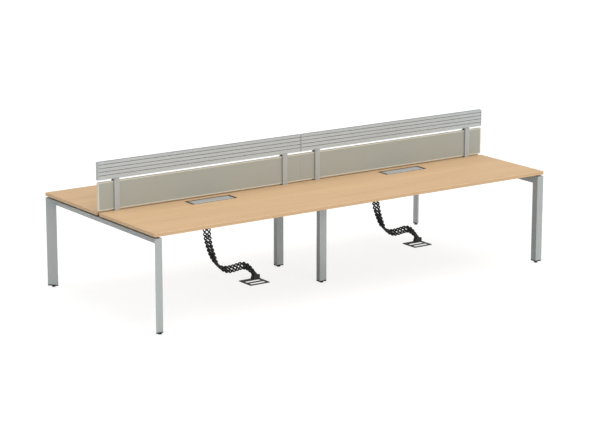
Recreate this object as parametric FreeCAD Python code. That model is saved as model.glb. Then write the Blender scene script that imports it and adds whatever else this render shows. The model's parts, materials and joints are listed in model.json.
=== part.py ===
import FreeCAD, Part
import math
import os
from FreeCAD import Vector

# Four-person bench desk, in millimetres.
# X runs along the bench, Y from front to rear, Z up. The origin is on the floor below the middle.

# Worktops
BENCH_LENGTH = 3600.0
TOP_DEPTH = 780.0
TOP_GAP = 32.0
TOP_SEAM = 1.0
TOP_THICKNESS = 26.0
TOP_HEIGHT = 743.0
TOP_CORNER = 4.0
TOP_EDGE = 1.5

# End frames, a mitred portal of triangular tube
SHADOW_GAP = 12.0
LEG_SIDE = 60.0
LEG_WALL = 2.5
LEG_EDGE = 0.6
LEG_BOTTOM = 20.0

# Middle frame
MIDDLE_LEG_WIDTH = 65.0
MIDDLE_LEG_DEPTH = 48.0
MIDDLE_LEG_Y = 292.0
MIDDLE_LEG_CORNER = 5.0
CROSS_BEAM_WIDTH = 40.0
ARM_TIP_INSET = 108.0
ARM_WIDTH = 50.0
ARM_TIP_HEIGHT = 14.0
ARM_ROOT_HEIGHT = 46.0
ARM_WALL = 3.0

# Long rails and their bolted end plates
RAIL_WALL = 2.5
RAIL_CORNER = 5.0
PLATE_WIDTH = 84.0
PLATE_THICKNESS = 5.0
BOLT_SPREAD = 31.0
BOLT_DIAMETER = 8.0
BOLT_HEAD_DIAMETER = 14.0
BOLT_HEAD_HEIGHT = 6.0
BOLT_GRIP = 12.0

# Spacer pads under the worktops
PAD_SIZE = 24.0
PAD_INSET = 20.0
PAD_SEAM_OFFSET = 13.0
END_PAD_SHARES = (0.22, 0.56, 0.88)
RAIL_PAD_SHARES = (0.14, 0.5, 0.88)
ARM_PAD_SHARES = (0.3, 0.9)

# Leg caps and levelling feet
CAP_THICKNESS = 9.0
CAP_PLUG = 32.0
FOOT_RADIUS = 15.0
FOOT_NECK_RADIUS = 11.0
FOOT_ROUND = 3.0
FOOT_STEM_RADIUS = 4.0
FOOT_STEM_LENGTH = 34.0

# Cable cut-outs and hinged lids
CUTOUT_LENGTH = 400.0
CUTOUT_DEPTH = 124.0
CUTOUT_INSET = 50.0
CUTOUT_CORNER = 5.0
LID_END_GAP = 24.0
LID_SIDE_GAP = 16.0
LID_THICKNESS = 8.0
LID_BARREL_RADIUS = 6.0
LID_EDGE = 2.0
LID_PIN_RADIUS = 2.5
LID_PIN_REACH = 25.0
LID_BORE_REACH = 27.0
LID_BRACKET_THICKNESS = 3.0
LID_BRACKET_FOOT = 45.0
LID_BRACKET_GAP = 1.0
LID_REST_LENGTH = 14.0
LID_REST_DEPTH = 16.0
LID_BRACKET_SETBACK = 2.0

# Cable trays
TRAY_START = 250.0
TRAY_LENGTH = 1300.0
TRAY_WIDTH = 430.0
TRAY_DROP = 60.0
TRAY_SHEET = 2.0
TRAY_FLANGE = 36.0

# Screen panels, posts and slatted rail
PANEL_THICKNESS = 20.0
PANEL_GAP = 9.0
PANEL_HEIGHT = 212.0
PANEL_TRIM = 8.0
PANEL_SEAM = 0.4
POST_INSET = 153.0
POST_WIDTH = 44.0
POST_COVER_DEPTH = 14.0
POST_COVER_WALL = 3.0
POST_EDGE = 1.5
BLADE_WIDTH = 36.0
BLADE_THICKNESS = 5.0
FORK_BASE = 6.0
CROSS_BAR_WIDTH = 40.0
CROSS_BAR_HEIGHT = 15.0
SLAT_GAP = 18.0
SLAT_HEIGHT = 134.0
SLAT_TOP_BAND = 20.5
SLAT_PITCH = 27.0
SLAT_GROOVES = 4
SLAT_DEPTH = 30.0
SLAT_SEAM = 1.0
SLAT_CORNER = 2.0
GROOVE_MOUTH = 3.6
GROOVE_POCKET = 9.0
GROOVE_DEPTH = 7.0
SLAT_CORE_WALL = 3.0
SLAT_CAP_LENGTH = 9.0
SLAT_CAP_POCKET_LENGTH = 3.0
SLAT_CAP_POCKET_DEPTH = 7.0

# Cable risers, chains of double-ring links from the bench down to the floor
LINK_PITCH = 33.0
RING_RADIUS = 14.0
RING_HOLE = 10.0
RING_OFFSET = 17.5
RING_SIDES = 8
LINK_THICKNESS = 28.0
LINK_BRIDGE = 8.0
TIE_SIZE = 6.0
TIE_GAP = 0.4
TWIST_START = -55.0
TWIST_END = 50.0
TWIST_HOLD = 130.0
TWIST_LENGTH = 250.0
LEFT_RISER_X = -362.0
LEFT_RISER_Y = 75.0
RIGHT_RISER_X = 1398.0
RIGHT_RISER_Y = 288.0
RISER_CLAMP_LENGTH = 84.0
RISER_CLAMP_DEPTH = 36.0
RISER_CLAMP_PLATE = 4.0
RISER_STUB_LENGTH = 40.0
RISER_STUB_DEPTH = 22.0
RISER_STUB_HEIGHT = 12.0
RISER_FOOT_LENGTH = 56.0
RISER_FOOT_TOP_LENGTH = 44.0
RISER_FOOT_DEPTH = 46.0
RISER_FOOT_TOP_DEPTH = 34.0
RISER_FOOT_HEIGHT = 34.0
RISER_FOOT_OFFSET = -8.0
RISER_SOCKET_LENGTH = 40.0
RISER_SOCKET_DEPTH = 14.0
RISER_SOCKET_REACH = 34.0
RISER_EAR_LENGTH = 18.0
RISER_EAR_HEIGHT = 30.0
RISER_EAR_DEPTH = 16.0
FLOOR_PLATE_THICKNESS = 5.0
FLOOR_PLATE_LENGTH = 180.0
FLOOR_PLATE_DEPTH = 170.0
FLOOR_PLATE_BAR = 20.0
FLOOR_PLATE_CORNER = 8.0
FLOOR_PLATE_SLOTS = 2

# The riser's route from its top down to its foot, as X and Z from the foot's end on the floor
RISER_ROUTE = (
    (-452.0, 470.0), (-441.0, 385.0), (-426.0, 320.0), (-403.0, 255.0), (-374.0, 193.0),
    (-334.0, 147.0), (-283.0, 121.0), (-222.0, 117.0), (-167.0, 124.0), (-122.0, 126.0),
    (-82.0, 111.0), (-54.0, 88.0), (-32.0, 64.0),
)

# Fits
SEAT = 0.2
RUN_FIT = 0.05
OVERRUN = 5.0

# Worked out places
HALF_LENGTH = BENCH_LENGTH / 2
OUTER_Y = TOP_DEPTH + TOP_GAP / 2
INNER_Y = TOP_GAP / 2
TOP_UNDERSIDE = TOP_HEIGHT - TOP_THICKNESS
FRAME_TOP = TOP_UNDERSIDE - SHADOW_GAP
FRAME_BOTTOM = FRAME_TOP - LEG_SIDE
END_FACE_X = HALF_LENGTH - LEG_SIDE
MIDDLE_FACE_X = MIDDLE_LEG_WIDTH / 2
RAIL_START = MIDDLE_FACE_X + PLATE_THICKNESS
RAIL_END = END_FACE_X - PLATE_THICKNESS
RAIL_INNER_Y = MIDDLE_LEG_Y - MIDDLE_LEG_DEPTH / 2
RAIL_OUTER_Y = MIDDLE_LEG_Y + MIDDLE_LEG_DEPTH / 2
ARM_REACH = OUTER_Y - ARM_TIP_INSET - RAIL_OUTER_Y
INCIRCLE = LEG_SIDE * (2 - math.sqrt(2)) / 2
CAP_BOTTOM = LEG_BOTTOM - CAP_THICKNESS
CUTOUT_X = (HALF_LENGTH + TOP_SEAM / 2) / 2
CUTOUT_INNER_Y = INNER_Y + CUTOUT_INSET
CUTOUT_OUTER_Y = CUTOUT_INNER_Y + CUTOUT_DEPTH
LID_LENGTH = CUTOUT_LENGTH - 2 * LID_END_GAP
LID_INNER_Y = CUTOUT_INNER_Y + LID_SIDE_GAP
LID_OUTER_Y = CUTOUT_OUTER_Y - LID_SIDE_GAP
LID_AXIS_Y = LID_INNER_Y + LID_BARREL_RADIUS
LID_AXIS_Z = TOP_HEIGHT - LID_BARREL_RADIUS
TRAY_FLOOR = FRAME_BOTTOM - TRAY_DROP
PANEL_BOTTOM = TOP_HEIGHT + PANEL_GAP
PANEL_TOP = PANEL_BOTTOM + PANEL_HEIGHT
PANEL_FACE_Y = PANEL_THICKNESS / 2 + SEAT
POST_XS = (HALF_LENGTH - POST_INSET, POST_INSET)
SLAT_BOTTOM = PANEL_TOP + SLAT_GAP
SLAT_TOP = SLAT_BOTTOM + SLAT_HEIGHT
SLAT_START = SLAT_SEAM / 2 + SLAT_CAP_LENGTH
SLAT_END = HALF_LENGTH - SLAT_CAP_LENGTH
SLAT_CORE_Y = SLAT_DEPTH / 2 - GROOVE_DEPTH
RING_FLAT = RING_RADIUS * math.cos(math.pi / RING_SIDES)

ORIGIN = Vector(0, 0, 0)
X_AXIS = Vector(1, 0, 0)
Y_AXIS = Vector(0, 1, 0)
Z_AXIS = Vector(0, 0, 1)
SIDES = {"left": -1, "right": 1}
ROWS = {"front": -1, "rear": 1}


def box(x0, x1, y0, y1, z0, z1):
    return Part.makeBox(x1 - x0, y1 - y0, z1 - z0, Vector(x0, y0, z0))


def sharp_face(points):
    return Part.Face(Part.makePolygon(points + points[:1]))


def rounded_face(points, radius):
    """A flat face with straight sides and every corner rounded."""
    runs = []
    for i, corner in enumerate(points):
        to_before = (points[i - 1] - corner).normalize()
        to_after = (points[(i + 1) % len(points)] - corner).normalize()
        half_angle = to_before.getAngle(to_after) / 2
        set_back = radius / math.tan(half_angle)
        inward = (to_before + to_after).normalize()
        middle = corner + inward * (radius / math.sin(half_angle) - radius)
        runs.append((corner + to_before * set_back, middle, corner + to_after * set_back))
    edges = []
    for i, (start, middle, end) in enumerate(runs):
        edges.append(Part.Arc(start, middle, end).toShape())
        edges.append(Part.LineSegment(end, runs[(i + 1) % len(runs)][0]).toShape())
    return Part.Face(Part.Wire(edges))


def rectangle(a0, a1, b0, b1, place):
    """Four corners, put in space by place, which takes the two flat coordinates."""
    return [place(a0, b0), place(a1, b0), place(a1, b1), place(a0, b1)]


def rounded_tube(width, depth, wall, corner, start, axis):
    """A rectangular tube along axis, with its middle line from start to the axis vector's end."""
    side = Vector(axis).normalize()
    across = Y_AXIS if abs(side.x) > abs(side.y) or abs(side.z) > abs(side.y) else X_AXIS
    if abs(side.z) > abs(side.x) and abs(side.z) > abs(side.y):
        across = X_AXIS
    upward = side.cross(across)

    def place(a, b):
        return start + across * a + upward * b

    outer = rounded_face(rectangle(-width / 2, width / 2, -depth / 2, depth / 2, place), corner)
    inner_width = width / 2 - wall
    inner_depth = depth / 2 - wall
    inner = rounded_face(rectangle(-inner_width, inner_width, -inner_depth, inner_depth, place), corner - wall)
    return outer.cut(inner).extrude(axis)


def mirrored(shape, side, row):
    """A piece made at the right rear, moved to another quarter of the bench."""
    if side < 0:
        shape = shape.mirror(ORIGIN, X_AXIS)
    if row < 0:
        shape = shape.mirror(ORIGIN, Y_AXIS)
    return shape


def cylinder(radius, length, start, axis):
    return Part.makeCylinder(radius, length, start, axis)


# Frame

def triangle_section(place, inset):
    """The tube's right triangle: a flat outer face, a flat inner face and a slope between them."""
    shrink = inset * (2 + math.sqrt(2))
    side = LEG_SIDE - shrink
    square_x = END_FACE_X + inset
    points = [place(square_x, inset), place(square_x + side, inset), place(square_x, inset + side)]
    return rounded_face(points, LEG_EDGE)


def end_leg():
    def place(x, depth):
        return Vector(x, OUTER_Y - depth, LEG_BOTTOM)

    height = Vector(0, 0, FRAME_TOP - LEG_BOTTOM)
    tube = triangle_section(place, 0).cut(triangle_section(place, LEG_WALL)).extrude(height)
    mitre = sharp_face([
        Vector(END_FACE_X, OUTER_Y, LEG_BOTTOM),
        Vector(END_FACE_X, OUTER_Y, FRAME_TOP),
        Vector(END_FACE_X, OUTER_Y - LEG_SIDE, FRAME_BOTTOM),
        Vector(END_FACE_X, OUTER_Y - LEG_SIDE, LEG_BOTTOM),
    ]).extrude(Vector(LEG_SIDE, 0, 0))
    return tube.common(mitre)


def end_beam():
    def place(x, depth):
        return Vector(x, -OUTER_Y, FRAME_TOP - depth)

    length = Vector(0, 2 * OUTER_Y, 0)
    tube = triangle_section(place, 0).cut(triangle_section(place, LEG_WALL)).extrude(length)
    mitre = sharp_face([
        Vector(END_FACE_X, -OUTER_Y, FRAME_TOP),
        Vector(END_FACE_X, OUTER_Y, FRAME_TOP),
        Vector(END_FACE_X, OUTER_Y - LEG_SIDE, FRAME_BOTTOM),
        Vector(END_FACE_X, LEG_SIDE - OUTER_Y, FRAME_BOTTOM),
    ]).extrude(Vector(LEG_SIDE, 0, 0))
    beam = tube.common(mitre)
    for row in ROWS.values():
        for bolt in bolt_places():
            start = Vector(END_FACE_X - OVERRUN, row * bolt.y, bolt.z)
            beam = beam.cut(cylinder(BOLT_DIAMETER / 2 + SEAT, BOLT_GRIP + OVERRUN, start, X_AXIS))
    return beam


def middle_leg():
    start = Vector(0, MIDDLE_LEG_Y, LEG_BOTTOM)
    axis = Vector(0, 0, FRAME_TOP - LEG_BOTTOM)
    return rounded_tube(MIDDLE_LEG_WIDTH, MIDDLE_LEG_DEPTH, LEG_WALL, MIDDLE_LEG_CORNER, start, axis)


def cross_beam():
    start = Vector(0, -RAIL_INNER_Y, FRAME_TOP - LEG_SIDE / 2)
    axis = Vector(0, 2 * RAIL_INNER_Y, 0)
    beam = rounded_tube(CROSS_BEAM_WIDTH, LEG_SIDE, RAIL_WALL, RAIL_CORNER, start, axis)
    for row in ROWS.values():
        for hole in middle_bolt_holes():
            beam = beam.cut(mirrored(hole, 1, row))
    return beam


def support_arm():
    """A tapered channel, open below, that carries the worktops' seam outside the middle legs."""
    root_y = RAIL_OUTER_Y
    tip_y = root_y + ARM_REACH

    def wedge(half_width, wall):
        return sharp_face([
            Vector(-half_width, root_y + wall, FRAME_TOP - wall),
            Vector(-half_width, tip_y - wall, FRAME_TOP - wall),
            Vector(-half_width, tip_y - wall, FRAME_TOP - ARM_TIP_HEIGHT - wall),
            Vector(-half_width, root_y + wall, FRAME_TOP - ARM_ROOT_HEIGHT - wall),
        ]).extrude(Vector(2 * half_width, 0, 0))

    arm = wedge(ARM_WIDTH / 2, 0).cut(wedge(ARM_WIDTH / 2 - ARM_WALL, ARM_WALL))
    for hole in middle_bolt_holes():
        arm = arm.cut(hole)
    return arm


def long_rail():
    start = Vector(RAIL_START, MIDDLE_LEG_Y, FRAME_TOP - LEG_SIDE / 2)
    axis = Vector(RAIL_END - RAIL_START, 0, 0)
    return rounded_tube(MIDDLE_LEG_DEPTH, LEG_SIDE, RAIL_WALL, RAIL_CORNER, start, axis)


def bolt_places():
    """The two bolts beside a rail, in Y and Z."""
    middle_z = FRAME_TOP - LEG_SIDE / 2
    return [Vector(0, MIDDLE_LEG_Y + offset, middle_z) for offset in (-BOLT_SPREAD, BOLT_SPREAD)]


def rail_plates():
    plates = []
    for start in (RAIL_START - PLATE_THICKNESS, RAIL_END):
        y0 = MIDDLE_LEG_Y - PLATE_WIDTH / 2
        plate = box(start, start + PLATE_THICKNESS, y0, y0 + PLATE_WIDTH, FRAME_BOTTOM, FRAME_TOP)
        for bolt in bolt_places():
            hole_start = Vector(start - OVERRUN, bolt.y, bolt.z)
            hole_length = PLATE_THICKNESS + 2 * OVERRUN
            plate = plate.cut(cylinder(BOLT_DIAMETER / 2 + SEAT, hole_length, hole_start, X_AXIS))
        plates.append(plate)
    return plates


def end_bolts():
    """Bolts through the outer plate into the end beam, heads on the rail's side."""
    bolts = []
    for bolt in bolt_places():
        head_start = Vector(RAIL_END - BOLT_HEAD_HEIGHT, bolt.y, bolt.z)
        head = cylinder(BOLT_HEAD_DIAMETER / 2, BOLT_HEAD_HEIGHT, head_start, X_AXIS)
        shank_start = Vector(RAIL_END, bolt.y, bolt.z)
        shank = cylinder(BOLT_DIAMETER / 2, PLATE_THICKNESS + BOLT_GRIP - SEAT, shank_start, X_AXIS)
        bolts.append(head.fuse(shank))
    return bolts


def middle_bolt_holes():
    radius = BOLT_DIAMETER / 2 + SEAT
    return [cylinder(radius, 2 * RAIL_START, b - X_AXIS * RAIL_START, X_AXIS) for b in bolt_places()]


def middle_bolts():
    """Long bolts beside a middle leg, which clamp it and tie in the cross beam and the arm."""
    bolts = []
    reach = RAIL_START
    for bolt in bolt_places():
        shank = cylinder(BOLT_DIAMETER / 2, 2 * reach, Vector(-reach, bolt.y, bolt.z), X_AXIS)
        left_start = Vector(-reach - BOLT_HEAD_HEIGHT, bolt.y, bolt.z)
        left_head = cylinder(BOLT_HEAD_DIAMETER / 2, BOLT_HEAD_HEIGHT, left_start, X_AXIS)
        right_head = cylinder(BOLT_HEAD_DIAMETER / 2, BOLT_HEAD_HEIGHT, Vector(reach, bolt.y, bolt.z), X_AXIS)
        bolts.append(shank.fuse(left_head).fuse(right_head))
    return bolts


# Feet

def foot_places():
    """Where each foot stands, by its name."""
    places = {}
    for row_name, row in ROWS.items():
        places["middle_" + row_name] = Vector(0, row * MIDDLE_LEG_Y, 0)
        for side_name, side in SIDES.items():
            x = side * (END_FACE_X + INCIRCLE)
            places[side_name + "_" + row_name] = Vector(x, row * (OUTER_Y - INCIRCLE), 0)
    return places


def foot_hole(place):
    length = CAP_THICKNESS + CAP_PLUG + 2 * OVERRUN
    start = Vector(place.x, place.y, CAP_BOTTOM - OVERRUN)
    return cylinder(FOOT_STEM_RADIUS + RUN_FIT, length, start, Z_AXIS)


def end_cap():
    """A flange of the leg's own outline, with a plug up inside the tube."""
    def place(x, depth):
        return Vector(x, OUTER_Y - depth, CAP_BOTTOM)

    flange = triangle_section(place, 0).extrude(Vector(0, 0, CAP_THICKNESS))
    plug = triangle_section(place, LEG_WALL + SEAT).extrude(Vector(0, 0, CAP_THICKNESS + CAP_PLUG))
    return flange.fuse(plug).cut(foot_hole(foot_places()["right_rear"]))


def middle_cap():
    def place(x, y):
        return Vector(x, MIDDLE_LEG_Y + y, CAP_BOTTOM)

    half_width = MIDDLE_LEG_WIDTH / 2
    half_depth = MIDDLE_LEG_DEPTH / 2
    flange = rounded_face(rectangle(-half_width, half_width, -half_depth, half_depth, place), MIDDLE_LEG_CORNER)
    inset = LEG_WALL + SEAT
    plug_width = half_width - inset
    plug_depth = half_depth - inset
    plug = rounded_face(rectangle(-plug_width, plug_width, -plug_depth, plug_depth, place), MIDDLE_LEG_CORNER - inset)
    cap = flange.extrude(Vector(0, 0, CAP_THICKNESS))
    cap = cap.fuse(plug.extrude(Vector(0, 0, CAP_THICKNESS + CAP_PLUG)))
    return cap.cut(foot_hole(foot_places()["middle_rear"]))


def levelling_foot(place):
    """A turned glide with a threaded stem, screwed fully home under its cap."""
    top = CAP_BOTTOM - SEAT
    shoulder = top - FOOT_ROUND
    rim = FOOT_RADIUS - FOOT_ROUND
    round_share = 1 - math.sqrt(2) / 2
    points = [
        Vector(0, 0, 0), Vector(rim, 0, 0), Vector(FOOT_RADIUS, 0, FOOT_ROUND), Vector(FOOT_NECK_RADIUS, 0, shoulder),
        Vector(FOOT_NECK_RADIUS, 0, top), Vector(FOOT_STEM_RADIUS, 0, top),
        Vector(FOOT_STEM_RADIUS, 0, top + FOOT_STEM_LENGTH), Vector(0, 0, top + FOOT_STEM_LENGTH),
    ]
    middle = Vector(FOOT_RADIUS - FOOT_ROUND * round_share, 0, FOOT_ROUND * round_share)
    edges = [Part.LineSegment(points[0], points[1]).toShape()]
    edges.append(Part.Arc(points[1], middle, points[2]).toShape())
    for start, end in zip(points[2:], points[3:] + points[:1]):
        edges.append(Part.LineSegment(start, end).toShape())
    foot = Part.Face(Part.Wire(edges)).revolve(ORIGIN, Z_AXIS, 360)
    foot.translate(place)
    return foot


# Worktops and lids

def worktop():
    def place(x, y):
        return Vector(x, y, TOP_UNDERSIDE)

    outline = rounded_face(rectangle(TOP_SEAM / 2, HALF_LENGTH, INNER_Y, OUTER_Y, place), TOP_CORNER)
    board = outline.extrude(Vector(0, 0, TOP_THICKNESS))
    rims = [e for e in board.Edges if e.BoundBox.ZMax - e.BoundBox.ZMin < TOP_EDGE]
    board = board.makeChamfer(TOP_EDGE, rims)
    x0 = CUTOUT_X - CUTOUT_LENGTH / 2
    hole_points = rectangle(x0, x0 + CUTOUT_LENGTH, CUTOUT_INNER_Y, CUTOUT_OUTER_Y, place)
    hole = rounded_face(hole_points, CUTOUT_CORNER).extrude(Vector(0, 0, TOP_THICKNESS))
    return board.cut(hole)


def spacer_pads():
    """Square pads between the frame and one worktop, which leave the shadow gap."""
    middle_y = MIDDLE_LEG_Y
    span_y = OUTER_Y - INNER_Y
    arm_y = RAIL_OUTER_Y
    places = [(END_FACE_X + PAD_INSET, INNER_Y + share * span_y) for share in END_PAD_SHARES]
    places += [(share * END_FACE_X, middle_y) for share in RAIL_PAD_SHARES]
    places += [(PAD_SEAM_OFFSET, arm_y + share * ARM_REACH) for share in ARM_PAD_SHARES]
    half = PAD_SIZE / 2
    return [box(x - half, x + half, y - half, y + half, FRAME_TOP, TOP_UNDERSIDE) for x, y in places]


def lid():
    """A flat lid with a hinge barrel along its inner edge and a bore at each end for the pins."""
    x0 = CUTOUT_X - LID_LENGTH / 2
    underside = TOP_HEIGHT - LID_THICKNESS
    points = [
        Vector(x0, LID_AXIS_Y, TOP_HEIGHT),
        Vector(x0, LID_OUTER_Y - LID_EDGE, TOP_HEIGHT),
        Vector(x0, LID_OUTER_Y, TOP_HEIGHT - LID_EDGE),
        Vector(x0, LID_OUTER_Y, underside + LID_EDGE),
        Vector(x0, LID_OUTER_Y - LID_EDGE, underside),
        Vector(x0, LID_AXIS_Y, underside),
    ]
    plate = sharp_face(points).extrude(Vector(LID_LENGTH, 0, 0))
    piece = plate.fuse(cylinder(LID_BARREL_RADIUS, LID_LENGTH, Vector(x0, LID_AXIS_Y, LID_AXIS_Z), X_AXIS))
    for start, axis in ((x0, X_AXIS), (x0 + LID_LENGTH, X_AXIS * -1)):
        bore = cylinder(LID_PIN_RADIUS + RUN_FIT, LID_BORE_REACH, Vector(start, LID_AXIS_Y, LID_AXIS_Z), axis)
        piece = piece.cut(bore)
    return piece.removeSplitter()


def lid_bracket(end):
    """A folded bracket in the gap at a lid's end: a foot under the worktop, a cheek and a rest."""
    face = LID_LENGTH / 2 + LID_BRACKET_GAP
    cheek_y0 = LID_INNER_Y
    cheek_y1 = LID_OUTER_Y - LID_BRACKET_SETBACK
    foot_bottom = TOP_UNDERSIDE - LID_BRACKET_THICKNESS
    cheek_top = TOP_HEIGHT - LID_EDGE
    cheek = box(face, face + LID_BRACKET_THICKNESS, cheek_y0, cheek_y1, foot_bottom, cheek_top)
    foot = box(face, face + LID_BRACKET_FOOT, cheek_y0, cheek_y1, foot_bottom, TOP_UNDERSIDE)
    rest_top = TOP_HEIGHT - LID_THICKNESS - SEAT
    rest_bottom = rest_top - LID_BRACKET_THICKNESS
    rest = box(face - LID_REST_LENGTH, face, cheek_y1 - LID_REST_DEPTH, cheek_y1, rest_bottom, rest_top)
    hole_start = Vector(face - OVERRUN, LID_AXIS_Y, LID_AXIS_Z)
    hole = cylinder(LID_PIN_RADIUS + RUN_FIT, LID_BRACKET_THICKNESS + 2 * OVERRUN, hole_start, X_AXIS)
    bracket = cheek.fuse(foot).fuse(rest).cut(hole).removeSplitter()
    if end < 0:
        bracket = bracket.mirror(ORIGIN, X_AXIS)
    bracket.translate(Vector(CUTOUT_X, 0, 0))
    return bracket


def lid_pin(end):
    reach = LID_PIN_REACH + LID_BRACKET_GAP + LID_BRACKET_THICKNESS
    start = LID_LENGTH / 2 - LID_PIN_REACH
    pin = cylinder(LID_PIN_RADIUS, reach, Vector(start, LID_AXIS_Y, LID_AXIS_Z), X_AXIS)
    if end < 0:
        pin = pin.mirror(ORIGIN, X_AXIS)
    pin.translate(Vector(CUTOUT_X, 0, 0))
    return pin


def cable_tray(side):
    """A folded sheet trough, with flanges screwed up under the two long rails."""
    half = TRAY_WIDTH / 2
    flange_y = RAIL_INNER_Y + TRAY_FLANGE
    top = FRAME_BOTTOM
    outline = [
        (-flange_y, top - TRAY_SHEET), (-half, top - TRAY_SHEET), (-half, TRAY_FLOOR), (half, TRAY_FLOOR),
        (half, top - TRAY_SHEET), (flange_y, top - TRAY_SHEET), (flange_y, top), (half - TRAY_SHEET, top),
        (half - TRAY_SHEET, TRAY_FLOOR + TRAY_SHEET), (TRAY_SHEET - half, TRAY_FLOOR + TRAY_SHEET),
        (TRAY_SHEET - half, top), (-flange_y, top),
    ]
    face = sharp_face([Vector(TRAY_START, y, z) for y, z in outline])
    tray = face.extrude(Vector(TRAY_LENGTH, 0, 0))
    if side < 0:
        tray = tray.mirror(ORIGIN, X_AXIS)
    return tray


# Screen

def screen_panel():
    seam = PANEL_SEAM / 2
    half = PANEL_THICKNESS / 2
    bottom = PANEL_BOTTOM + PANEL_TRIM
    return box(seam, HALF_LENGTH - PANEL_TRIM, -half, half, bottom, PANEL_TOP - PANEL_TRIM)


def screen_trim():
    """Edge strips of a panel: long ones above and below, and a short one at the bench's end."""
    half = PANEL_THICKNESS / 2
    x0 = PANEL_SEAM / 2
    low = PANEL_BOTTOM + PANEL_TRIM
    high = PANEL_TOP - PANEL_TRIM
    return [
        box(x0, HALF_LENGTH, -half, half, PANEL_BOTTOM, low),
        box(x0, HALF_LENGTH, -half, half, high, PANEL_TOP),
        box(HALF_LENGTH - PANEL_TRIM, HALF_LENGTH, -half, half, low, high),
    ]


def post_cover(x):
    """A channel that hides a post's blade, from the worktop up to the slatted rail."""
    bottom = TOP_HEIGHT + SEAT
    height = Vector(0, 0, SLAT_BOTTOM - SEAT - bottom)
    half = POST_WIDTH / 2
    inner = half - POST_COVER_WALL
    outer_y = PANEL_FACE_Y + POST_COVER_DEPTH
    web_y = outer_y - POST_COVER_WALL
    points = [
        (x - half, PANEL_FACE_Y), (x - inner, PANEL_FACE_Y), (x - inner, web_y), (x + inner, web_y),
        (x + inner, PANEL_FACE_Y), (x + half, PANEL_FACE_Y), (x + half, outer_y - POST_EDGE),
        (x + half - POST_EDGE, outer_y), (x - half + POST_EDGE, outer_y), (x - half, outer_y - POST_EDGE),
    ]
    return sharp_face([Vector(px, py, bottom) for px, py in points]).extrude(height)


def screen_fork(x):
    """A U of flat steel that stands on a cross bar, with a blade either side of the panel."""
    half = BLADE_WIDTH / 2
    outer = PANEL_FACE_Y + BLADE_THICKNESS
    base_top = FRAME_TOP + FORK_BASE
    blade_top = SLAT_BOTTOM - SEAT
    base = box(x - half, x + half, -outer, outer, FRAME_TOP, base_top)
    rear = box(x - half, x + half, PANEL_FACE_Y, outer, base_top, blade_top)
    front = box(x - half, x + half, -outer, -PANEL_FACE_Y, base_top, blade_top)
    return base.fuse(rear).fuse(front).removeSplitter()


def cross_bar(x):
    half = CROSS_BAR_WIDTH / 2
    return box(x - half, x + half, -RAIL_INNER_Y, RAIL_INNER_Y, FRAME_TOP - CROSS_BAR_HEIGHT, FRAME_TOP)


def rail_saddle(x):
    """The block between the blades that the slatted rail is screwed down to."""
    half = BLADE_WIDTH / 2
    inner = PANEL_FACE_Y - SEAT
    return box(x - half, x + half, -inner, inner, PANEL_TOP + SEAT, SLAT_BOTTOM)


def groove_heights():
    highest = SLAT_TOP - SLAT_TOP_BAND
    return [highest - SLAT_PITCH * i for i in reversed(range(SLAT_GROOVES))]


def slat_outline(x):
    def place(y, z):
        return Vector(x, y, z)

    half = SLAT_DEPTH / 2
    return rounded_face(rectangle(-half, half, SLAT_BOTTOM, SLAT_TOP, place), SLAT_CORNER)


def slat_core():
    """The flat tube that carries the slats."""
    wall = SLAT_CORE_WALL
    outer = box(SLAT_START, SLAT_END, -SLAT_CORE_Y, SLAT_CORE_Y, SLAT_BOTTOM, SLAT_TOP)
    inner_y = SLAT_CORE_Y - wall
    inner = box(SLAT_START, SLAT_END, -inner_y, inner_y, SLAT_BOTTOM + wall, SLAT_TOP - wall)
    return outer.cut(inner)


def slat_strips():
    """Strips along both faces, narrower behind, so the grooves between them hold hanging fittings."""
    mouth = GROOVE_MOUTH / 2
    pocket = GROOVE_POCKET / 2
    lower = [(SLAT_BOTTOM, SLAT_BOTTOM)] + [(z + mouth, z + pocket) for z in groove_heights()]
    upper = [(z - mouth, z - pocket) for z in groove_heights()] + [(SLAT_TOP, SLAT_TOP)]
    strips = []
    for row in ROWS.values():
        face_y = row * SLAT_DEPTH / 2
        back_y = row * SLAT_CORE_Y
        for (face_low, back_low), (face_high, back_high) in zip(lower, upper):
            points = [
                Vector(SLAT_START, back_y, back_low), Vector(SLAT_START, face_y, face_low),
                Vector(SLAT_START, face_y, face_high), Vector(SLAT_START, back_y, back_high),
            ]
            strips.append(sharp_face(points).extrude(Vector(SLAT_END - SLAT_START, 0, 0)))
    return strips


def slat_end_cap(start, pocket_start):
    """A moulded cap of the rail's outline, with a pocket at the end of each groove."""
    cap = slat_outline(start).extrude(Vector(SLAT_CAP_LENGTH, 0, 0))
    half = SLAT_DEPTH / 2
    pocket = GROOVE_POCKET / 2
    for height in groove_heights():
        for row in ROWS.values():
            y0, y1 = sorted((row * (half + OVERRUN), row * (half - SLAT_CAP_POCKET_DEPTH)))
            x1 = pocket_start + SLAT_CAP_POCKET_LENGTH
            cap = cap.cut(box(pocket_start, x1, y0, y1, height - pocket, height + pocket))
    return cap


def slat_end_caps():
    seam = SLAT_SEAM / 2
    outer = HALF_LENGTH - SLAT_CAP_LENGTH
    inner_pocket = seam + SLAT_CAP_LENGTH - SLAT_CAP_POCKET_LENGTH
    return [slat_end_cap(seam, inner_pocket), slat_end_cap(outer, outer)]


# Cable risers

def ring(offset):
    """One eye of a link, with flat sides, its hole along the link's thickness."""
    turn = math.pi / RING_SIDES

    def eye(radius):
        points = []
        for i in range(RING_SIDES):
            angle = 2 * math.pi * i / RING_SIDES + turn
            x = offset + radius * math.cos(angle)
            points.append(Vector(x, -LINK_THICKNESS / 2, radius * math.sin(angle)))
        return sharp_face(points)

    return eye(RING_RADIUS).cut(eye(RING_HOLE)).extrude(Vector(0, LINK_THICKNESS, 0))


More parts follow.
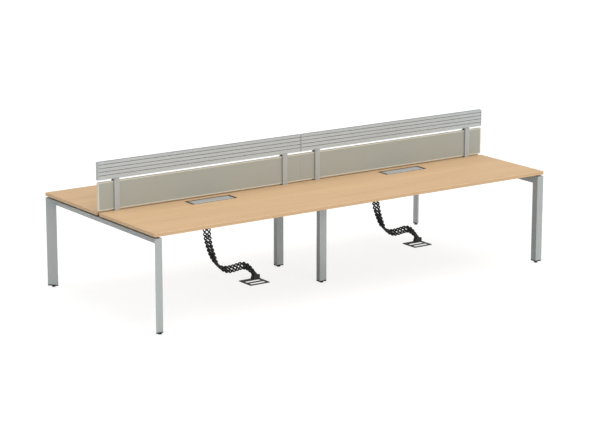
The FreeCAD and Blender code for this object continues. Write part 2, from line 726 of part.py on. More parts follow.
def link():
    """A figure of eight: two eyes side by side and a bridge between them."""
    reach = RING_OFFSET - (RING_RADIUS + RING_HOLE) / 2
    half = LINK_BRIDGE / 2
    bridge = box(-reach, reach, -half, half, -half, half)
    return ring(-RING_OFFSET).fuse(ring(RING_OFFSET)).fuse(bridge).removeSplitter()


def link_frames(foot_x, foot_y, top_z):
    """Where each link sits on the route, and how it is turned: a position and a rotation each."""
    points = [Vector(foot_x + x, foot_y, z) for x, z in RISER_ROUTE]
    stub_bottom = top_z - RISER_CLAMP_PLATE - RISER_STUB_HEIGHT
    points[0] = Vector(points[0].x, foot_y, stub_bottom)
    curve = Part.BSplineCurve()
    end_way = (points[-1] - points[-2]).normalize()
    curve.interpolate(Points=points, InitialTangent=Z_AXIS * -1, FinalTangent=end_way)
    route = curve.toShape()
    first = RING_FLAT + SEAT
    steps = round((route.Length - first) / LINK_PITCH)
    pitch = (route.Length - first) / steps
    frames = []
    for i in range(steps + 1):
        length = min(first + i * pitch, route.Length)
        parameter = route.getParameterByLength(length)
        along = route.tangentAt(parameter)
        share = min(max(length - TWIST_HOLD, 0) / TWIST_LENGTH, 1)
        twist = TWIST_START + (TWIST_END - TWIST_START) * share
        wide = FreeCAD.Rotation(along, twist).multVec(Y_AXIS)
        turn = FreeCAD.Rotation(wide, along.cross(wide), along, "ZXY")
        frames.append((route.valueAt(parameter), turn))
    return frames


def ties(frame, after):
    """Short bars from one link's eyes to the next link's, each as long as that gap."""
    bars = []
    for offset in (-RING_OFFSET, RING_OFFSET):
        start = frame[0] + frame[1].multVec(Vector(offset, 0, 0))
        end = after[0] + after[1].multVec(Vector(offset, 0, 0))
        way = end - start
        direction = Vector(way).normalize()
        root = (RING_RADIUS + RING_HOLE) / 2
        length = way.Length - root - RING_FLAT - TIE_GAP
        half = TIE_SIZE / 2
        bar = Part.makeBox(TIE_SIZE, TIE_SIZE, length, Vector(-half, -half, 0))
        side = frame[1].multVec(X_AXIS)
        turn = FreeCAD.Rotation(side, direction.cross(side), direction, "ZXY")
        bar.Placement = FreeCAD.Placement(start + direction * root, turn)
        bars.append(bar)
    return bars


def riser_links(frames):
    pattern = link()
    links = []
    for i, frame in enumerate(frames):
        piece = pattern.copy()
        piece.Placement = FreeCAD.Placement(frame[0], frame[1])
        if i + 1 < len(frames):
            for bar in ties(frame, frames[i + 1]):
                piece = piece.fuse(bar)
        links.append(piece)
    return links


def riser_clamp(foot_x, foot_y, top_z):
    """The plate and stub that the first link hangs from."""
    x = foot_x + RISER_ROUTE[0][0]
    half = RISER_CLAMP_LENGTH / 2
    depth = RISER_CLAMP_DEPTH / 2
    plate_bottom = top_z - RISER_CLAMP_PLATE
    plate = box(x - half, x + half, foot_y - depth, foot_y + depth, plate_bottom, top_z)
    stub_half = RISER_STUB_LENGTH / 2
    stub_depth = RISER_STUB_DEPTH / 2
    stub_bottom = plate_bottom - RISER_STUB_HEIGHT
    stub = box(x - stub_half, x + stub_half, foot_y - stub_depth, foot_y + stub_depth, stub_bottom, plate_bottom)
    return plate.fuse(stub).removeSplitter()


def riser_foot(foot_x, foot_y, last_link):
    """A tapered block on the floor plate, with a socket up to the last link and a clamping ear."""
    x = foot_x + RISER_FOOT_OFFSET
    bottom = FLOOR_PLATE_THICKNESS

    def ring_wire(length, depth, z):
        half = length / 2
        half_depth = depth / 2
        points = [
            Vector(x - half, foot_y - half_depth, z), Vector(x + half, foot_y - half_depth, z),
            Vector(x + half, foot_y + half_depth, z), Vector(x - half, foot_y + half_depth, z),
        ]
        return Part.makePolygon(points + points[:1])

    low = ring_wire(RISER_FOOT_LENGTH, RISER_FOOT_DEPTH, bottom)
    high = ring_wire(RISER_FOOT_TOP_LENGTH, RISER_FOOT_TOP_DEPTH, bottom + RISER_FOOT_HEIGHT)
    block = Part.makeLoft([low, high], True, True)
    ear_x = x + RISER_FOOT_TOP_LENGTH / 2
    half_ear = RISER_EAR_DEPTH / 2
    ear = box(ear_x, ear_x + RISER_EAR_LENGTH, foot_y - half_ear, foot_y + half_ear, bottom, bottom + RISER_EAR_HEIGHT)
    corner = Vector(-RISER_SOCKET_LENGTH / 2, -RISER_SOCKET_DEPTH / 2, RING_FLAT + SEAT)
    socket = Part.makeBox(RISER_SOCKET_LENGTH, RISER_SOCKET_DEPTH, RISER_SOCKET_REACH, corner)
    socket.Placement = FreeCAD.Placement(last_link[0], last_link[1])
    return block.fuse(ear).fuse(socket).removeSplitter()


def floor_plate(foot_x, foot_y):
    """A flat plate with two slots, under the foot block's rear edge."""
    def place(x, y):
        return Vector(x, y, 0)

    thickness = Vector(0, 0, FLOOR_PLATE_THICKNESS)
    x1 = foot_x + RISER_FOOT_OFFSET + RISER_FOOT_TOP_LENGTH / 2 + RISER_EAR_LENGTH
    x0 = x1 - FLOOR_PLATE_LENGTH
    y1 = foot_y + RISER_FOOT_DEPTH / 2
    y0 = y1 - FLOOR_PLATE_DEPTH
    plate = rounded_face(rectangle(x0, x1, y0, y1, place), FLOOR_PLATE_CORNER).extrude(thickness)
    free = FLOOR_PLATE_DEPTH - RISER_FOOT_DEPTH
    slot = free / FLOOR_PLATE_SLOTS - FLOOR_PLATE_BAR
    for i in range(FLOOR_PLATE_SLOTS):
        low = y0 + FLOOR_PLATE_BAR + i * (slot + FLOOR_PLATE_BAR)
        points = rectangle(x0 + FLOOR_PLATE_BAR, x1 - FLOOR_PLATE_BAR, low, low + slot, place)
        plate = plate.cut(rounded_face(points, FLOOR_PLATE_CORNER).extrude(thickness))
    return plate


# The whole bench

def build():
    nodes = {}
    for side_name, side in SIDES.items():
        nodes[side_name + "_end_beam"] = [mirrored(end_beam(), side, 1)]
        nodes["cable_tray_" + side_name] = [cable_tray(side)]
        nodes["screen_panel_" + side_name] = [mirrored(screen_panel(), side, 1)]
        nodes["screen_trim_" + side_name] = [mirrored(strip, side, 1) for strip in screen_trim()]
        nodes["slat_core_" + side_name] = [mirrored(slat_core(), side, 1)]
        nodes["slat_strips_" + side_name] = [mirrored(strip, side, 1) for strip in slat_strips()]
        for row_name, row in ROWS.items():
            nodes[side_name + "_" + row_name + "_leg"] = [mirrored(end_leg(), side, row)]
            nodes[row_name + "_" + side_name + "_rail"] = [mirrored(long_rail(), side, row)]
            nodes["worktop_" + row_name + "_" + side_name] = [mirrored(worktop(), side, row)]
            nodes["cable_lid_" + row_name + "_" + side_name] = [mirrored(lid(), side, row)]
    for row_name, row in ROWS.items():
        nodes["middle_" + row_name + "_leg"] = [mirrored(middle_leg(), 1, row)]
        nodes[row_name + "_support_arm"] = [mirrored(support_arm(), 1, row)]
        covers = []
        for x in POST_XS:
            covers += [mirrored(post_cover(x), side, row) for side in SIDES.values()]
        nodes[row_name + "_post_covers"] = covers
    nodes["middle_cross_beam"] = [cross_beam()]

    quarters = [(side, row) for side in SIDES.values() for row in ROWS.values()]
    nodes["rail_plates"] = [mirrored(p, *quarter) for quarter in quarters for p in rail_plates()]
    bolts = [mirrored(b, *quarter) for quarter in quarters for b in end_bolts()]
    nodes["frame_bolts"] = bolts + [mirrored(b, 1, row) for row in ROWS.values() for b in middle_bolts()]
    nodes["spacer_pads"] = [mirrored(p, *quarter) for quarter in quarters for p in spacer_pads()]
    caps = [mirrored(end_cap(), *quarter) for quarter in quarters]
    nodes["leg_caps"] = caps + [mirrored(middle_cap(), 1, row) for row in ROWS.values()]
    ends = (-1, 1)
    nodes["lid_brackets"] = [mirrored(lid_bracket(end), *quarter) for quarter in quarters for end in ends]
    nodes["lid_pins"] = [mirrored(lid_pin(end), *quarter) for quarter in quarters for end in ends]
    for name, place in foot_places().items():
        nodes[name + "_foot"] = [levelling_foot(place)]

    posts = [side * x for side in SIDES.values() for x in POST_XS]
    nodes["screen_forks"] = [screen_fork(x) for x in posts]
    nodes["screen_cross_bars"] = [cross_bar(x) for x in posts]
    nodes["rail_saddles"] = [rail_saddle(x) for x in posts]
    nodes["slat_end_caps"] = [mirrored(c, side, 1) for side in SIDES.values() for c in slat_end_caps()]

    risers = {
        "left": (LEFT_RISER_X, LEFT_RISER_Y, TRAY_FLOOR),
        "right": (RIGHT_RISER_X, RIGHT_RISER_Y, FRAME_BOTTOM - TRAY_SHEET),
    }
    for name, (x, y, top) in risers.items():
        frames = link_frames(x, y, top)
        nodes[name + "_riser_links"] = riser_links(frames)
        nodes[name + "_riser_clamp"] = [riser_clamp(x, y, top)]
        nodes[name + "_riser_foot"] = [riser_foot(x, y, frames[-1])]
        nodes[name + "_riser_plate"] = [floor_plate(x, y)]
    return nodes


def main():
    os.makedirs("parts", exist_ok=True)
    for name, solids in build().items():
        shape = solids[0] if len(solids) == 1 else Part.makeCompound(solids)
        shape.exportStep("parts/" + name + ".step")


main()
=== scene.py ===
import json
import math

import bpy
from mathutils import Matrix, Vector


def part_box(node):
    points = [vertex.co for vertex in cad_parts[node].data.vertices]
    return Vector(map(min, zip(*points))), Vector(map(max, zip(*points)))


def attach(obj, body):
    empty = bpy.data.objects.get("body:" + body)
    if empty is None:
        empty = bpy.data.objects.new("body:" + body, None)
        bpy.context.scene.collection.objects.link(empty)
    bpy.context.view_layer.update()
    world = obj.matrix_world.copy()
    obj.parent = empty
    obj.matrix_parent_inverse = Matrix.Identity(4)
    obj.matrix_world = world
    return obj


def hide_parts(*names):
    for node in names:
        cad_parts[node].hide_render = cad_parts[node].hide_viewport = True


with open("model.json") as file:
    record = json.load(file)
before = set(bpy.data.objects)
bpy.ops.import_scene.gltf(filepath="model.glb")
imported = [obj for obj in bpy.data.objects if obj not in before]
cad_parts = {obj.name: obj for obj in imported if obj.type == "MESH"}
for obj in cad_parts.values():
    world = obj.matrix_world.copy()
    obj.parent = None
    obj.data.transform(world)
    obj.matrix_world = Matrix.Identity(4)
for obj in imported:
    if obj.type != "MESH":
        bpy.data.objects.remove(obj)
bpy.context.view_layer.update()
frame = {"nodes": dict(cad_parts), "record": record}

# Camera, at the photo's own view
CAMERA_PLACE = (-9.6085, -13.7262, 4.4952)
CAMERA_AIM = (0.5555, 0.7973, -0.2361)
CAMERA_LENS = 135.12
SENSOR_WIDTH = 36.0
VIEW_DEPTH = 400.0

# Light: each sun's strength, its angle across in radians and the way it shines; the room's even light
SUNS = {
    "high": (1.65, 1.0, (-0.25, 0.1, -0.96)),
    "front": (1.75, 0.7, (0.05, 0.96, -0.2)),
    "left": (0.6, 0.6, (0.8, -0.25, -0.55)),
}
WHITE = (1, 1, 1, 1)
ROOM_LIGHT = 0.48

# Floor sheets, in metres: half their size, and how far the lower one lies below the floor
SHEET_HALF = 120.0
BOUNCE_DEPTH = 0.002
FLOOR_GLOW = 0.8

# Colours, linear
BEECH_LIGHT = (0.665, 0.44, 0.243)
BEECH_DARK = (0.575, 0.372, 0.198)
BEECH_FLECK = (0.47, 0.3, 0.158)
BEECH_EDGE = (0.5, 0.335, 0.185)
# Painted shade for the cut-out walls round the lids, darker than the edge bands
CUTOUT_SHADE = (0.21, 0.14, 0.085)
SILVER = (0.355, 0.38, 0.377)
ALUMINIUM = (0.4, 0.425, 0.425)
SLATS = (0.455, 0.483, 0.487)
# Painted shade for the rail's core, seen at the bottom of the grooves
GROOVE_SHADE = (0.16, 0.167, 0.172)
CAP_SILVER = (0.41, 0.432, 0.436)
# Painted shade for the pockets at the groove ends and the joint of the rail's halves
CAP_POCKET_SHADE = (0.015, 0.015, 0.016)
PANEL = (0.325, 0.332, 0.29)
PANEL_EDGE = (0.55, 0.53, 0.445)
LID = (0.38, 0.385, 0.38)
# Painted shade for the lid's upright faces in the gaps round it
LID_SIDE_SHADE = (0.03, 0.03, 0.03)
BLACK = (0.01, 0.0105, 0.011)
RUBBER = (0.009, 0.009, 0.009)
PLATE = (0.05, 0.05, 0.05)
STEEL = (0.5, 0.5, 0.5)
FLOOR = (0.25, 0.25, 0.25)
BOUNCE = (0.72, 0.72, 0.72)

# Grain of the finishes: how often it changes in a metre along X, Y and Z, and its detail
BEECH_BANDS = ((0.7, 7.0, 7.0), 3.0)
BEECH_GRAIN = ((4.0, 150.0, 150.0), 4.0)
BEECH_FLECKS = ((26.0, 620.0, 620.0), 1.0)
EDGE_GRAIN = ((6.0, 6.0, 240.0), 3.0)
PAINT_PEEL = ((900.0, 900.0, 900.0), 2.0)
PAINT_SPARKLE = ((2600.0, 2600.0, 2600.0), 0.0)
PAINT_CLOUD = ((5.0, 5.0, 5.0), 2.0)
DRAWN_LINES = ((1.5, 900.0, 900.0), 3.0)
DRAWN_CLOUD = ((2.0, 9.0, 9.0), 2.0)
MOULD_CLOUD = ((3.0, 3.0, 8.0), 3.0)
MOULD_DETAIL = 2.0
CAP_GRAIN = ((1400.0, 1400.0, 1400.0), 2.0)
GRAIN_MIDDLE = 0.5

# How the beech's tones are mixed
BAND_SHARE = 0.55
GRAIN_SHARE = 0.45
TONE_START = 0.36
TONE_GAIN = 3.2
FLECK_LIMIT = 0.66
FLECK_SHARE = 0.28
FLECK_HEIGHT = 0.4
EDGE_SHARE = 0.5
BEECH_SPECULAR = 0.4

# How the tones of the paint, the drawn metal, the mouldings and the caps are mixed
PAINT_METAL = 0.3
PAINT_CLOUD_SHARE = 0.5
SPARKLE_LIMIT = 0.62
SPARKLE_SHARE = 0.35
SPARKLE_TONE = 1.16
LINE_SHARE = 0.6
LINE_CLOUD_SHARE = 0.4
DRAWN_CONTRAST = 0.1
MOULD_SHARE = 0.5
CAP_CONTRAST = 0.05

# Roughness: the lowest, and what the grain adds
BEECH_ROUGHNESS = (0.36, 0.14)
PAINT_ROUGHNESS = (0.4, 0.12)
DRAWN_ROUGHNESS = (0.34, 0.16)
CAP_ROUGHNESS = (0.38, 0.14)
MOULD_ROUGHNESS_SPREAD = 0.16

# Bump: its strength, and its depth in metres
BEECH_BUMP = (0.08, 0.0004)
PAINT_BUMP = (0.12, 0.0003)
DRAWN_BUMP = (0.1, 0.0002)
MOULD_BUMP = (0.2, 0.0004)

# Limits over which a face counts as level, and a mask as set
LEVEL_LIMIT = 0.6
MASK_LIMIT = 0.5

# Sockets of a colour Mix node
MIX_SHARE, MIX_FIRST, MIX_SECOND, MIX_RESULT = 0, 6, 7, 2

# The cut-outs round the lids, whose walls are painted with shade: middle and half size, along the bench and
# across it, in metres
LID_LOW, LID_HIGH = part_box("cable_lid_rear_right")
END_GAP = 0.0245
SIDE_GAP = 0.0165
CUTOUT_X = ((LID_LOW[0] + LID_HIGH[0]) / 2, (LID_HIGH[0] - LID_LOW[0]) / 2 + END_GAP)
CUTOUT_Y = ((LID_LOW[1] + LID_HIGH[1]) / 2, (LID_HIGH[1] - LID_LOW[1]) / 2 + SIDE_GAP)

# The rail's end caps, in metres: middle and reach along the bench of the pockets and of the joint, both
# painted with shade
OUTER_POCKETS = (1.7925, 0.0016)
INNER_POCKETS = (0.008, 0.0016)
RAIL_JOINT = (0.0, 0.002)
POCKET_FACE = 0.0147

# Edge rounding of each finish, in metres; the screen's thin edge strips stay as they are
ROUNDINGS = {
    "worktop_laminate": 0.0008, "lid_grey": 0.0008, "panel_grey": 0.0004, "rail_aluminium": 0.0005,
    "end_cap_silver": 0.0008, "riser_black": 0.0024, "floor_plate_dark": 0.001, "black_plastic": 0.0008,
    "fixing_steel": 0.0005, "frame_silver": 0.0008,
}
ROUND_STEPS = 2
ROUND_ANGLE = 0.7
WELD_REACH = 0.00002

# A riser's link, in metres
EYE_OFFSET = 0.0165
EYE_RADIUS = 0.0142
EYE_HOLE = 0.0072
EYE_STRETCH = 1.1
EYE_HALF = 0.011
EYE_ROUND = 0.003
EYE_FLAT = 0.01293
EYE_STEPS = 24
TIE_RADIUS = 0.0034
SPINE_RADIUS = 0.0045
SPINE_HALF = 0.0078
PIN_STEPS = 12
PIN_EDGE_ANGLE = 1.2

# Corner points of a link that agree when counted in steps of this many to a metre are one point
POINT_STEPS = 1e5

# How far the links hang turned about each chain, in degrees at some links counted up from the foot
LINK_TURNS = {
    "left": (
        (0, -12), (3, 4), (4, 12), (7, 6), (8, -10), (9, -26), (10, -36), (11, -38),
        (12, -48), (13, -48), (14, -44), (15, -33), (16, -20), (17, -10), (20, 0),
    ),
    "right": (
        (0, -12), (3, 4), (4, 12), (7, 6), (8, -10), (9, -26), (10, -32), (11, -32),
        (12, -50), (13, -58), (14, -60), (15, -55), (16, -45), (17, -42), (18, -25), (20, 0),
    ),
}


class Shade:
    """One output of a shader node, with arithmetic that adds Math nodes."""

    def __init__(self, tree, socket):
        self.tree = tree
        self.socket = socket

    def math(self, operation, *values):
        return self.tree.node("ShaderNodeMath", dict(enumerate(values)), operation=operation)

    def __add__(self, other):
        return self.math("ADD", self, other)

    def __radd__(self, other):
        return self.math("ADD", other, self)

    def __sub__(self, other):
        return self.math("SUBTRACT", self, other)

    def __rsub__(self, other):
        return self.math("SUBTRACT", other, self)

    def __mul__(self, other):
        return self.math("MULTIPLY", self, other)

    def __rmul__(self, other):
        return self.math("MULTIPLY", other, self)

    def above(self, limit):
        """1 where the value is over a limit, 0 elsewhere."""
        return self.math("GREATER_THAN", self, limit)

    def size(self):
        """The value without its sign."""
        return self.math("ABSOLUTE", self)


class Tree:
    """A material's nodes."""

    def __init__(self, name):
        self.material = bpy.data.materials.new(name)
        self.material.use_nodes = True
        self.nodes = self.material.node_tree.nodes
        self.links = self.material.node_tree.links
        self.surface = self.nodes["Principled BSDF"]

    def put(self, socket, value):
        """Link a value to a socket or set it there; a colour gets its alpha."""
        if isinstance(value, Shade):
            self.links.new(value.socket, socket)
        elif isinstance(value, tuple) and len(value) == 3 and len(socket.default_value) == 4:
            socket.default_value = (*value, 1)
        else:
            socket.default_value = value

    def node(self, kind, inputs=None, output=0, **settings):
        """A new node's output: its settings go in first, then its sockets' values and links."""
        made = self.nodes.new(kind)
        for key, value in settings.items():
            setattr(made, key, value)
        for key, value in (inputs or {}).items():
            self.put(made.inputs[key], value)
        return Shade(self, made.outputs[output])

    def stretched(self, scales):
        """The point on the object, drawn out along its axes."""
        point = self.node("ShaderNodeTexCoord", output="Object")
        return self.node("ShaderNodeVectorMath", {0: point, 1: scales}, operation="MULTIPLY")

    def noise(self, scales, detail):
        inputs = {"Vector": self.stretched(scales), "Scale": 1.0, "Detail": detail}
        return self.node("ShaderNodeTexNoise", inputs)

    def upward(self):
        """1 on the faces that are level at rest, 0 on upright ones."""
        normal = self.node("ShaderNodeTexCoord", output="Normal")
        rise = self.node("ShaderNodeSeparateXYZ", {0: normal}, output="Z")
        return rise.size().above(LEVEL_LIMIT)

    def places(self):
        """How far the point lies from the bench's middle, along it and across it."""
        point = self.node("ShaderNodeTexCoord", output="Object")
        axes = [self.node("ShaderNodeSeparateXYZ", {0: point}, output=name) for name in "XY"]
        return [axis.size() for axis in axes]

    def mix(self, share, first, second):
        inputs = {MIX_SHARE: share, MIX_FIRST: first, MIX_SECOND: second}
        return self.node("ShaderNodeMix", inputs, output=MIX_RESULT, data_type="RGBA")

    def bump(self, height, strength, distance):
        inputs = {"Height": height, "Strength": strength, "Distance": distance}
        return self.node("ShaderNodeBump", inputs)

    def finish(self, **inputs):
        for key, value in inputs.items():
            self.put(self.surface.inputs[key.replace("_", " ")], value)
        return self.material


def near(value, middle, reach):
    """1 where a value lies within reach of its middle, 0 elsewhere."""
    return (reach - (value - middle).size()).above(0.0)


def rough(grain, lowest, spread):
    """Roughness that rises with the grain."""
    return lowest + grain * spread


def tones(colour, contrast):
    """A darker and a lighter tone of a colour."""
    return [tuple(c * factor for c in colour) for factor in (1 - contrast, 1 + contrast)]


def beech():
    """Pale beech laminate: bands, fine grain and flecks along the bench, edge bands, and painted shade on
    the cut-out walls round the lids.
    """
    tree = Tree("beech_laminate")
    bands = tree.noise(*BEECH_BANDS)
    grain = tree.noise(*BEECH_GRAIN)
    flecks = tree.noise(*BEECH_FLECKS)
    tone = bands * BAND_SHARE + grain * GRAIN_SHARE
    face = tree.mix((tone - TONE_START) * TONE_GAIN, BEECH_LIGHT, BEECH_DARK)
    face = tree.mix(flecks.above(FLECK_LIMIT) * FLECK_SHARE, face, BEECH_FLECK)
    edge = tree.mix(tree.noise(*EDGE_GRAIN) * EDGE_SHARE, BEECH_EDGE, BEECH_DARK)
    along, across = tree.places()
    # The cut-out walls round the lids get painted shade in place of the edge band's colour
    inner = near(along, *CUTOUT_X) * near(across, *CUTOUT_Y)
    edge_and_cutout_shade = tree.mix(inner, edge, CUTOUT_SHADE)
    return tree.finish(
        Base_Color=tree.mix(tree.upward(), edge_and_cutout_shade, face),
        Roughness=rough(grain, *BEECH_ROUGHNESS),
        Normal=tree.bump(grain + flecks * FLECK_HEIGHT, *BEECH_BUMP),
        Specular_IOR_Level=BEECH_SPECULAR,
    )


def silver_paint():
    """Silver powder coat with a fine orange peel."""
    tree = Tree("silver_paint")
    peel = tree.noise(*PAINT_PEEL)
    sparkle = tree.noise(*PAINT_SPARKLE).above(SPARKLE_LIMIT)
    cloud = tree.noise(*PAINT_CLOUD)
    share = cloud * PAINT_CLOUD_SHARE + sparkle * SPARKLE_SHARE
    return tree.finish(
        Base_Color=tree.mix(share, SILVER, tuple(c * SPARKLE_TONE for c in SILVER)),
        Metallic=PAINT_METAL,
        Roughness=rough(peel, *PAINT_ROUGHNESS),
        Normal=tree.bump(peel, *PAINT_BUMP),
    )


def brushed(name, colour, metallic):
    """Satin anodised metal, with drawn lines along the bench."""
    tree = Tree(name)
    lines = tree.noise(*DRAWN_LINES)
    cloud = tree.noise(*DRAWN_CLOUD)
    share = lines * LINE_SHARE + cloud * LINE_CLOUD_SHARE
    return tree.finish(
        Base_Color=tree.mix(share, *tones(colour, DRAWN_CONTRAST)),
        Metallic=metallic,
        Roughness=rough(lines, *DRAWN_ROUGHNESS),
        Normal=tree.bump(lines, *DRAWN_BUMP),
    )


def moulded(name, colour, grain_size, roughness, contrast, side_shade=None):
    """Moulded plastic or coated board with a fine grain and a little unevenness, and maybe painted shade on
    its upright faces.
    """
    tree = Tree(name)
    grain = tree.noise((grain_size, grain_size, grain_size), MOULD_DETAIL)
    cloud = tree.noise(*MOULD_CLOUD)
    share = grain * MOULD_SHARE + cloud * MOULD_SHARE
    shade = tree.mix(share, *tones(colour, contrast))
    # Upright faces take the painted shade
    if side_shade:
        shade = tree.mix(tree.upward(), side_shade, shade)
    return tree.finish(
        Base_Color=shade,
        Roughness=rough(grain - GRAIN_MIDDLE, roughness, MOULD_ROUGHNESS_SPREAD),
        Normal=tree.bump(grain, *MOULD_BUMP),
    )


def end_caps():
    """Moulded silver caps, with painted shade in the pockets at the groove ends and at the joint of the
    rail's halves.
    """
    tree = Tree("end_cap")
    grain = tree.noise(*CAP_GRAIN)
    along, across = tree.places()
    behind = (POCKET_FACE - across).above(0.0) * (1 - tree.upward())
    # Painted shade in the pockets at the groove ends and along the joint of the halves
    pockets = (near(along, *OUTER_POCKETS) + near(along, *INNER_POCKETS)) * behind
    dark = (pockets + near(along, *RAIL_JOINT)).above(MASK_LIMIT)
    shade = tree.mix(grain, *tones(CAP_SILVER, CAP_CONTRAST))
    return tree.finish(
        Base_Color=tree.mix(dark, shade, CAP_POCKET_SHADE),
        Roughness=rough(grain, *CAP_ROUGHNESS),
        Normal=tree.bump(grain, *MOULD_BUMP),
    )


def floor_paint(name, colour):
    """Even, dull paint for the floor sheets."""
    return moulded(name, colour, grain_size=40.0, roughness=0.9, contrast=0.01)


finishes = {
    "worktop_laminate": beech(),
    "lid_grey": moulded("lid_plastic", LID, grain_size=1400.0, roughness=0.5, contrast=0.08, side_shade=LID_SIDE_SHADE),
    "panel_grey": moulded("panel_board", PANEL, grain_size=1100.0, roughness=0.42, contrast=0.05),
    "panel_edge": moulded("panel_edge_band", PANEL_EDGE, grain_size=1400.0, roughness=0.4, contrast=0.04),
    "rail_aluminium": brushed("rail_aluminium", ALUMINIUM, metallic=0.35),
    "end_cap_silver": end_caps(),
    "riser_black": moulded("riser_plastic", BLACK, grain_size=900.0, roughness=0.5, contrast=0.2),
    "floor_plate_dark": moulded("floor_plate", PLATE, grain_size=1200.0, roughness=0.55, contrast=0.15),
    "black_plastic": moulded("black_plastic", RUBBER, grain_size=900.0, roughness=0.5, contrast=0.2),
    "fixing_steel": brushed("fixing_steel", STEEL, metallic=0.9),
    "frame_silver": silver_paint(),
}

# The slats are paler than the posts; their core shows only at the bottom of the grooves and is painted dark
# as shade in the grooves
slats = brushed("slat_aluminium", SLATS, metallic=0.35)
groove_shade_finish = brushed("groove_shade_aluminium", GROOVE_SHADE, metallic=0.2)
rail_finishes = {
    "slat_strips_left": slats, "slat_strips_right": slats,
    "slat_core_left": groove_shade_finish, "slat_core_right": groove_shade_finish,
}


def dress(node_name, slot):
    """Give a CAD node its finish and its rounded edges."""
    node = frame["nodes"][node_name]
    node.data.materials.clear()
    node.data.materials.append(rail_finishes.get(node_name, finishes[slot]))
    weld = node.modifiers.new("weld", "WELD")
    weld.merge_threshold = WELD_REACH
    if slot in ROUNDINGS:
        bevel = node.modifiers.new("round", "BEVEL")
        bevel.width = ROUNDINGS[slot]
        bevel.segments = ROUND_STEPS
        bevel.limit_method = "ANGLE"
        bevel.angle_limit = ROUND_ANGLE


def new_piece(name, points, faces):
    """A new mesh in the scene."""
    mesh = bpy.data.meshes.new(name)
    mesh.from_pydata(points, [], faces)
    piece = bpy.data.objects.new(name, mesh)
    bpy.context.scene.collection.objects.link(piece)
    return piece


def loose_parts(node):
    """The corner points of each separate solid in a CAD node, in their order."""
    mesh = node.data
    keys = [tuple(round(c * POINT_STEPS) for c in v.co) for v in mesh.vertices]
    owner = {key: key for key in keys}

    def root(key):
        while owner[key] != key:
            owner[key] = owner[owner[key]]
            key = owner[key]
        return key

    for face in mesh.polygons:
        first = root(keys[face.vertices[0]])
        for index in face.vertices[1:]:
            owner[root(keys[index])] = first
    parts = {}
    for key, vertex in zip(keys, mesh.vertices):
        parts.setdefault(root(key), {})[key] = vertex.co.copy()
    return [list(points.values()) for points in parts.values()]


def widest_way(points, origin, along):
    """The way across the chain in which a link's points spread most."""
    first = along.orthogonal().normalized()
    second = along.cross(first)
    flat = [((p - origin).dot(first), (p - origin).dot(second)) for p in points]
    spread = sum(a * a - b * b for a, b in flat)
    turn = math.atan2(2 * sum(a * b for a, b in flat), spread) / 2
    return first * math.cos(turn) + second * math.sin(turn)


def step_to_middle(points, origin, way):
    """The step along a way from an origin to the middle of the points' reach."""
    reach = [(p - origin).dot(way) for p in points]
    return way * ((min(reach) + max(reach)) / 2)


def link_frames(node):
    """Each link's middle and turn, read off its own solid: X across its two eyes, Z along the chain."""
    parts = loose_parts(node)
    middles = [sum(points, Vector()) / len(points) for points in parts]
    last = len(parts) - 1
    frames = []
    for i, points in enumerate(parts):
        middle = middles[i]
        along = (middles[min(i + 1, last)] - middles[max(i - 1, 0)]).normalized()
        wide = widest_way(points, middle, along)
        thick = along.cross(wide)
        foot = min((p - middle).dot(along) for p in points)
        place = middle + step_to_middle(points, middle, wide) + step_to_middle(points, middle, thick)
        place = place + along * (foot + EYE_FLAT)
        frames.append(Matrix.Translation(place) @ Matrix((wide, thick, along)).transposed().to_4x4())
    return frames


def link_turn(turns, number):
    """A link's turn about the chain, between the two table entries round it."""
    for (low, low_turn), (high, high_turn) in zip(turns, turns[1:]):
        if low <= number <= high:
            return low_turn + (high_turn - low_turn) * (number - low) / (high - low)
    return 0


def turned_frames(node, turns):
    """The links' frames, each turned about the chain."""
    frames = link_frames(node)
    turned = []
    for i, place in enumerate(frames):
        turn = link_turn(turns, len(frames) - 1 - i)
        turned.append(place @ Matrix.Rotation(math.radians(turn), 4, "Z"))
    return turned


def add_eye(shape, place, x):
    """One eye of a link, with rounded rims."""
    side = EYE_HALF - EYE_ROUND
    inner = EYE_HOLE + EYE_ROUND
    outer = EYE_RADIUS - EYE_ROUND
    rim = [
        (EYE_HOLE, -side), (inner, -EYE_HALF), (outer, -EYE_HALF), (EYE_RADIUS, -side),
        (EYE_RADIUS, side), (outer, EYE_HALF), (inner, EYE_HALF), (EYE_HOLE, side),
    ]
    points, faces = shape
    start = len(points)
    for i in range(EYE_STEPS):
        angle = 2 * math.pi * i / EYE_STEPS
        for radius, depth in rim:
            across = x + radius * math.cos(angle)
            points.append(place @ Vector((across, depth, radius * math.sin(angle) * EYE_STRETCH)))
    for i in range(EYE_STEPS):
        for j in range(len(rim)):
            after = (i + 1) % EYE_STEPS
            beside = (j + 1) % len(rim)
            corners = [(i, j), (i, beside), (after, beside), (after, j)]
            faces.append([start + a * len(rim) + b for a, b in corners])


def add_pin(shape, start, end, radius):
    """A round pin between two points, with closed ends."""
    points, faces = shape
    base = len(points)
    way = (end - start).normalized()
    first = way.orthogonal().normalized()
    second = way.cross(first)
    for end_point in (start, end):
        for i in range(PIN_STEPS):
            angle = 2 * math.pi * i / PIN_STEPS
            points.append(end_point + (first * math.cos(angle) + second * math.sin(angle)) * radius)
    for i in range(PIN_STEPS):
        after = (i + 1) % PIN_STEPS
        faces.append([base + i, base + after, base + PIN_STEPS + after, base + PIN_STEPS + i])
    faces.append([base + i for i in reversed(range(PIN_STEPS))])
    faces.append([base + PIN_STEPS + i for i in range(PIN_STEPS)])


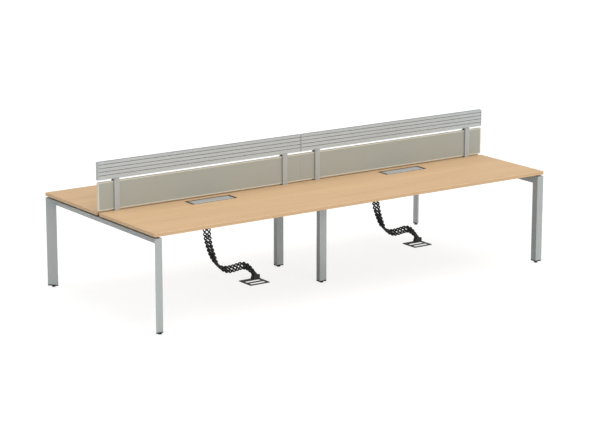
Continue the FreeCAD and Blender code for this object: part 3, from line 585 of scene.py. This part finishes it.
def link_chain(side):
    """A chain of open links: two eyes each, side by side on a short spine, tied to the next link's eyes."""
    node_name = side + "_riser_links"
    frames = turned_frames(frame["nodes"][node_name], LINK_TURNS[side])
    shape = ([], [])
    rim = (EYE_RADIUS + EYE_HOLE) / 2 * EYE_STRETCH
    for i, place in enumerate(frames):
        for x in (-EYE_OFFSET, EYE_OFFSET):
            add_eye(shape, place, x)
            if i + 1 < len(frames):
                near_end = place @ Vector((x, 0, rim))
                far_end = frames[i + 1] @ Vector((x, 0, -rim))
                add_pin(shape, near_end, far_end, TIE_RADIUS)
        spine = [place @ Vector((0, 0, z)) for z in (-SPINE_HALF, SPINE_HALF)]
        add_pin(shape, *spine, SPINE_RADIUS)
    piece = new_piece(side + "_link_chain", *shape)
    piece.data.shade_smooth()
    piece.data.materials.append(finishes["riser_black"])
    edges = piece.modifiers.new("sharp_pin_ends", "EDGE_SPLIT")
    edges.split_angle = PIN_EDGE_ANGLE
    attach(piece, "bench")
    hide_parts(node_name)


def floor_sheet(name, height, paint):
    """A wide, level sheet."""
    size = SHEET_HALF
    corners = [(-size, -size, height), (size, -size, height), (size, size, height), (-size, size, height)]
    piece = new_piece(name, corners, [(0, 1, 2, 3)])
    piece.data.materials.append(paint)
    return piece


def aimed(name, data, way):
    """A lamp or camera in the scene that points along a way."""
    piece = bpy.data.objects.new(name, data)
    piece.rotation_euler = Vector(way).to_track_quat("-Z", "Y").to_euler()
    bpy.context.scene.collection.objects.link(piece)
    return piece


def sun(name, energy, spread, way):
    """A far, soft lamp."""
    light = bpy.data.lights.new(name, "SUN")
    light.energy = energy
    light.angle = spread
    aimed(name, light, way)


for part in frame["record"]["subparts"]:
    dress(part["node"], part["material_slot"])

for side in LINK_TURNS:
    link_chain(side)

# The floor that is seen glows a little, and gives no light or shadow to the bench
paint = floor_paint("floor_paint", FLOOR)
paint.node_tree.nodes["Principled BSDF"].inputs["Emission Color"].default_value = WHITE
paint.node_tree.nodes["Principled BSDF"].inputs["Emission Strength"].default_value = FLOOR_GLOW
floor = floor_sheet("floor", 0.0, paint)
floor.visible_diffuse = False
floor.visible_glossy = False
floor.visible_shadow = False

# A second sheet just below gives the light that a pale floor throws back, darker under the bench
bounce = floor_sheet("bounce", -BOUNCE_DEPTH, floor_paint("bounce_paint", BOUNCE))
bounce.visible_camera = False

for name, settings in SUNS.items():
    sun(name, *settings)

world = bpy.data.worlds.new("soft_room")
world.use_nodes = True
world.node_tree.nodes["Background"].inputs["Color"].default_value = WHITE
world.node_tree.nodes["Background"].inputs["Strength"].default_value = ROOM_LIGHT
bpy.context.scene.world = world
bpy.context.scene.view_settings.view_transform = "Standard"

lens = bpy.data.cameras.new("camera")
lens.lens = CAMERA_LENS
lens.sensor_width = SENSOR_WIDTH
lens.clip_end = VIEW_DEPTH
camera = aimed("camera", lens, CAMERA_AIM)
camera.location = CAMERA_PLACE
bpy.context.scene.camera = camera
